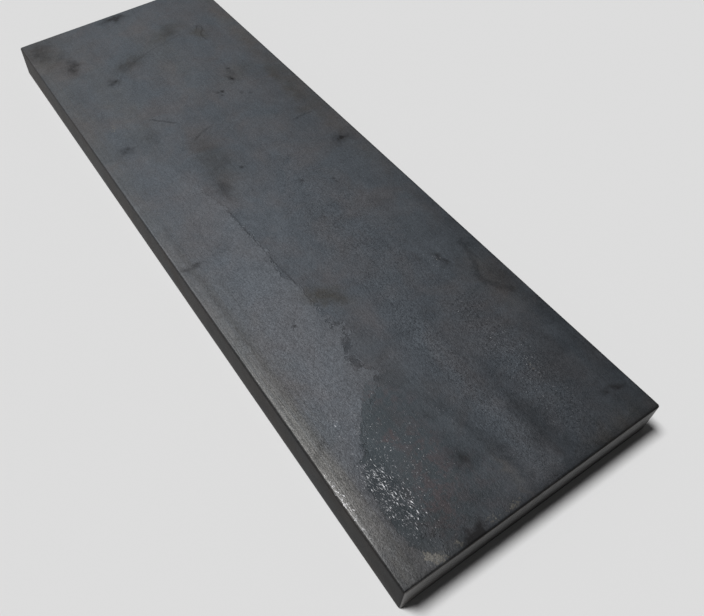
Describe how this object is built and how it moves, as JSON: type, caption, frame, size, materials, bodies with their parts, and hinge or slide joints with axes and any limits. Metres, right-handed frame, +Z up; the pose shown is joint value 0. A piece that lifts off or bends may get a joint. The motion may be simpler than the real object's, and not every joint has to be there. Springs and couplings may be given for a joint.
{
  "type": "steel flat bar",
  "caption": "Short length of hot-rolled steel flat bar with dark blue-grey mill scale, rounded rolled edges and square-cut ends, lying flat",
  "frame": {"origin": "middle of the lower broad face", "axes": "+X along the bar's length, +Y across its width, +Z up through its thickness"},
  "size_m": [0.3048, 0.1016, 0.0159],
  "materials": {
    "mill_scale_steel": "hot-rolled mill scale, worn lighter along one edge, with bare flakes and specks; cut ends bare"
  },
  "bodies": {
    "root": {"flat_bar": "mill_scale_steel"}
  },
  "joints": []
}
